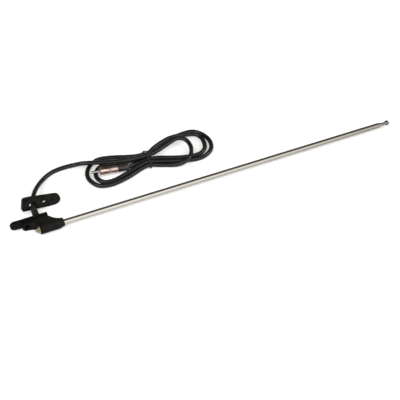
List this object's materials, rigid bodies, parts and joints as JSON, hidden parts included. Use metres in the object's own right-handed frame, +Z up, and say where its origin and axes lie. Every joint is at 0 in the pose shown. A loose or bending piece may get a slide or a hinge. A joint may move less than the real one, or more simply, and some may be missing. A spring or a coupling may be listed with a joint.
{
  "type": "telescopic antenna",
  "caption": "Telescopic car radio antenna: pull-out metal mast with a ball tip, side-mount flange, rubber gasket and a tied coaxial lead with a radio plug.",
  "frame": {"origin": "middle of the cable outlet in the flange's mounting face", "axes": "+X along the mast to its ball, +Y out of the mounting face, +Z up from the surface the part lies on"},
  "size_m": [0.4853, 0.099, 0.0241],
  "materials": {
    "moulding": "satin black moulding",
    "soft_black": "matt black",
    "gasket": "matt black rubber",
    "cable_jacket": "satin black jacket",
    "tie_plastic": "satin black",
    "mast_steel": "polished stainless steel",
    "ball_metal": "bright plated",
    "brass": "turned",
    "bronze": "rolled strip",
    "copper": "drawn wire",
    "plug_metal": "nickel plated",
    "insulator": "off-white moulding"
  },
  "bodies": {
    "mount": {"mount_base": "moulding", "mast_socket": "brass", "core_wire": "copper", "earth_tag": "brass", "cable_boot": "soft_black", "gasket_pad": "gasket", "mast_tube": "mast_steel", "tube_plug": "brass", "cable_lead": "cable_jacket", "cable_hank": "cable_jacket", "cable_tail": "cable_jacket", "cable_tie": "tie_plastic", "plug_shell": "plug_metal", "plug_pin": "plug_metal", "plug_insulator": "insulator", "plug_boot": "soft_black"},
    "middle_section": {"middle_tube": "mast_steel", "middle_bush": "brass", "middle_friction_sleeve": "bronze"},
    "tip_section": {"tip_rod": "mast_steel", "tip_bush": "brass", "tip_friction_sleeve": "bronze", "tip_ball": "ball_metal"}
  },
  "joints": [
    {"name": "middle_slide", "type": "slide", "parent": "mount", "child": "middle_section", "axis": [1, 0, 0], "range_m": [0, 0.407]},
    {"name": "tip_slide", "type": "slide", "parent": "middle_section", "child": "tip_section", "axis": [1, 0, 0], "range_m": [0, 0.4097]}
  ]
}
